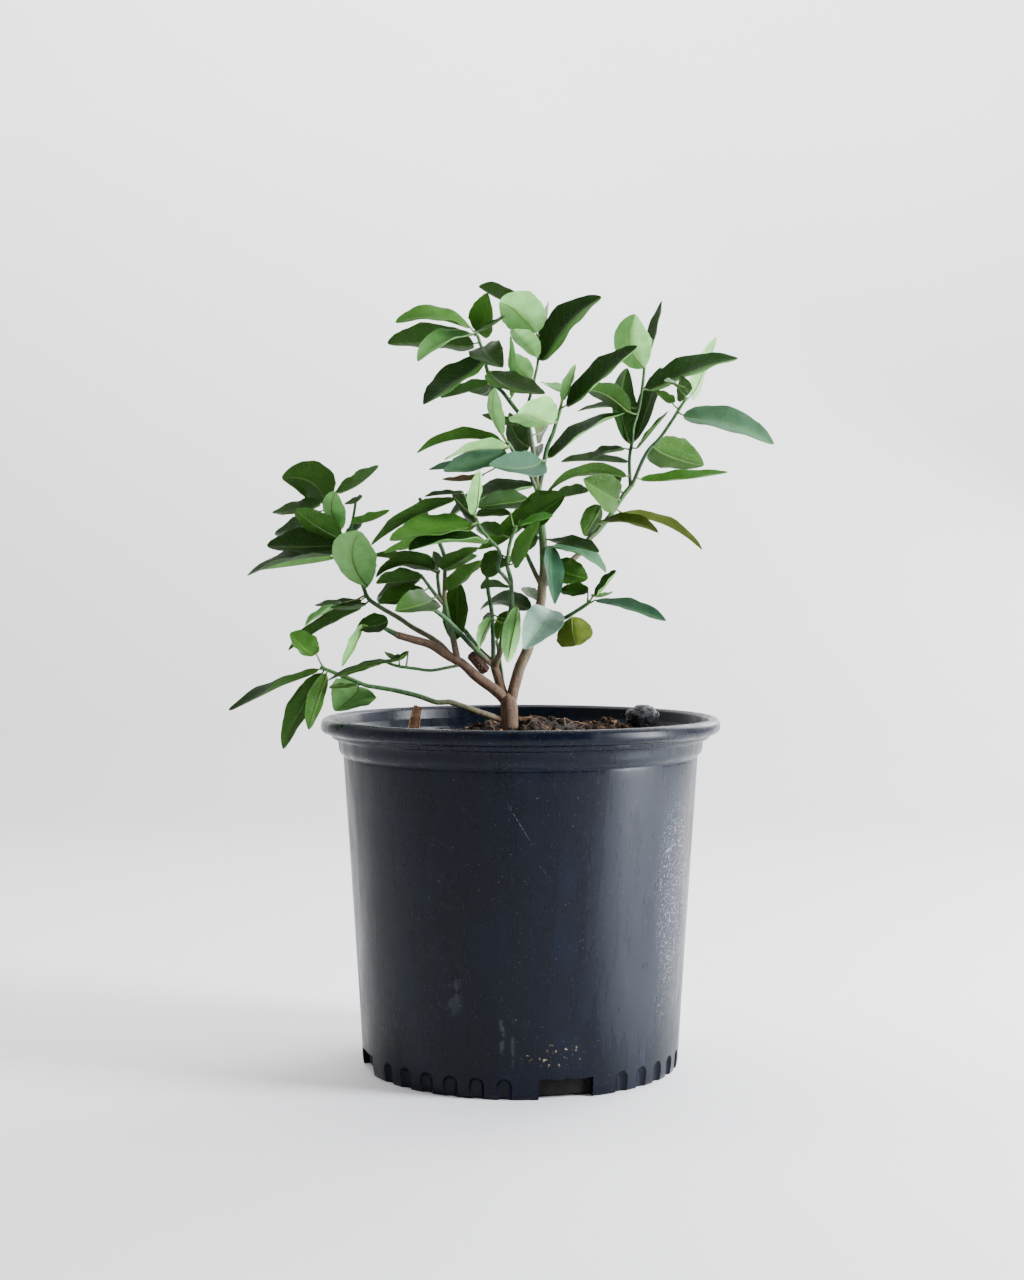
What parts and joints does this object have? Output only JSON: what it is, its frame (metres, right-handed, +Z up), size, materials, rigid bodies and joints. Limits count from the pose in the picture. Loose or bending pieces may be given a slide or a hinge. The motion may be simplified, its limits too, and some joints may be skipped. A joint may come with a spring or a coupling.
{
  "type": "potted lemon tree",
  "caption": "Young branching lemon tree with waxy pointed leaves, growing in soil in a round tapered nursery pot with a rolled rim and drainage notches at its foot",
  "frame": {"origin": "middle of the flat underside of the pot, on the surface that it stands on", "axes": "+Z up along the pot's axis to the crown of the tree, +X to the right and -Y to the front as the tree is seen"},
  "size_m": [0.3784, 0.28, 0.5586],
  "materials": {
    "pot_plastic": "thin black moulded polypropylene, satin, with dust, scuffs and pale mineral marks",
    "potting_soil": "dark crumbly potting mix with coir fibre and bark",
    "lemon_bark": "thin grey-brown bark with faint green streaks",
    "lemon_leaf": "waxy dark green upper face, paler matte underside",
    "green_shoot": "smooth green young stem",
    "pebble_stone": "rough brown pebble",
    "dead_bark": "dry fibrous bark"
  },
  "bodies": {
    "root": {"pot": "pot_plastic", "soil": "potting_soil", "trunk": "lemon_bark", "left_spur_shoot": "lemon_leaf", "low_shoot": "lemon_leaf", "side_shoot": "lemon_leaf", "left_shoot": "lemon_leaf", "inner_left_shoot": "lemon_leaf", "cut_shoot_1": "green_shoot", "cut_shoot_2": "green_shoot", "cut_shoot_3": "green_shoot", "cut_shoot_4": "green_shoot", "middle_shoot": "lemon_leaf", "middle_side_shoot": "lemon_leaf", "centre_shoot": "lemon_leaf", "low_right_shoot": "lemon_leaf", "crown_left_shoot": "lemon_leaf", "crown_right_shoot": "lemon_leaf", "crown_front_shoot": "lemon_leaf", "crown_back_shoot": "lemon_leaf", "right_shoot": "lemon_leaf", "right_upper_shoot": "lemon_leaf", "right_outer_shoot": "lemon_leaf", "pebble": "pebble_stone", "bark_stick": "dead_bark"}
  },
  "joints": []
}
